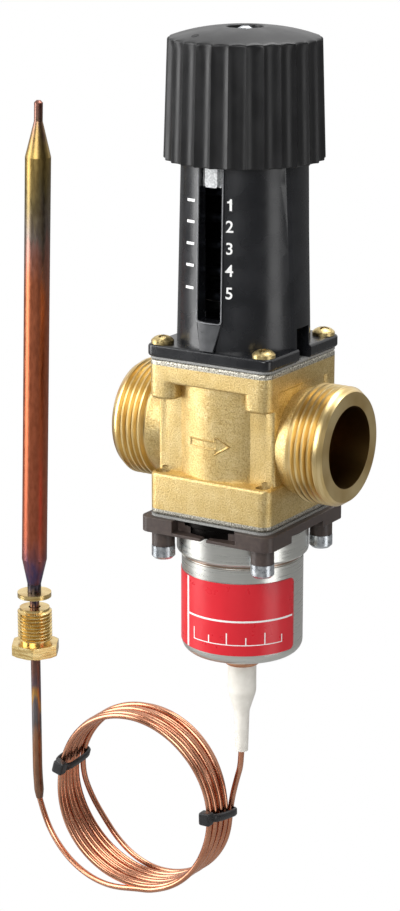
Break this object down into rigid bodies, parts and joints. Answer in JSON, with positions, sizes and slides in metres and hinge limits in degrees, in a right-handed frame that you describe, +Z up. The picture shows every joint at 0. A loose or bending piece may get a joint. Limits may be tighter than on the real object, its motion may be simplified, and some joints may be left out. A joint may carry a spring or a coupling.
{
  "type": "temperature control valve",
  "caption": "Self-acting temperature control valve: fluted setting knob, slotted spring housing, threaded brass body and a copper sensor on a coiled capillary.",
  "frame": {"origin": "centre of the inlet port's end face", "axes": "+X along the flow from the inlet to the outlet, +Y away from the pointer slot, +Z up the stem to the setting knob"},
  "size_m": [0.1452, 0.0554, 0.3289],
  "materials": {
    "knob_plastic": "satin black moulding",
    "housing_plastic": "satin black moulding",
    "forged_brass": "blasted forging with turned threads",
    "turned_brass": "turned",
    "zinc_steel": "zinc plated",
    "bright_steel": "drawn and brushed",
    "dark_steel": "dark coating",
    "neck_steel": "heat-darkened",
    "label_print": "printed film",
    "sheet_gasket": "grey fibre sheet",
    "seal_rubber": "black",
    "bellows_metal": "thin folded sheet",
    "bright_copper": "bright copper",
    "aged_copper": "heat-tinted copper",
    "white_sleeve": "white",
    "tie_nylon": "black"
  },
  "bodies": {
    "valve": {"spring_housing": "housing_plastic", "valve_body": "forged_brass", "gland_washer": "turned_brass", "seat_ring": "turned_brass", "housing_screws": "turned_brass", "upper_guide": "turned_brass", "lower_guide": "turned_brass", "clamp_screws": "zinc_steel", "thrust_washer": "zinc_steel", "main_spring": "zinc_steel", "element_can": "bright_steel", "element_collar": "bright_steel", "clamp_half_inlet": "dark_steel", "clamp_half_outlet": "dark_steel", "neck_sleeve": "neck_steel", "element_label": "label_print", "upper_gasket": "sheet_gasket", "lower_gasket": "sheet_gasket", "upper_o_ring": "seal_rubber", "lower_o_ring": "seal_rubber", "bellows": "bellows_metal", "capillary_ferrule": "bright_copper", "capillary_lead": "bright_copper", "capillary_coil": "bright_copper", "capillary_tail": "bright_copper", "stem_tube": "aged_copper", "sensor_bulb": "aged_copper", "strain_relief_boot": "white_sleeve", "cable_tie_upper": "tie_nylon", "cable_tie_lower": "tie_nylon"},
    "knob": {"setting_knob": "knob_plastic", "knob_screw": "zinc_steel", "setting_spindle": "zinc_steel"},
    "nut": {"setting_nut": "turned_brass"},
    "stem": {"valve_stem": "bright_steel", "valve_cone": "turned_brass", "cone_seal": "seal_rubber", "cone_clip": "zinc_steel", "spring_plate": "zinc_steel", "thrust_pin": "bright_steel"},
    "gland": {"gland_nut": "turned_brass", "gland_packing": "seal_rubber"}
  },
  "joints": [
    {"name": "knob_turn", "type": "hinge", "parent": "valve", "child": "knob", "pos_m": [0.0429, 0, 0.124], "axis": [0, 0, 1], "range_deg": [0, 2160]},
    {"name": "nut_slide", "type": "slide", "parent": "valve", "child": "nut", "axis": [0, 0, 1], "range_m": [-0.036, 0], "deforming": ["main_spring"]},
    {"name": "stem_slide", "type": "slide", "parent": "valve", "child": "stem", "axis": [0, 0, 1], "range_m": [0, 0.005], "stiffness_N_per_m": 3000, "springref_m": -0.005, "deforming": ["main_spring", "bellows"]},
    {"name": "gland_slide", "type": "slide", "parent": "valve", "child": "gland", "axis": [0, 0, 1], "range_m": [-0.03, 0.003]}
  ],
  "couplings": [
    {"joint": "nut_slide", "follows": "knob_turn", "m_per_rad": -0.00095493}
  ]
}
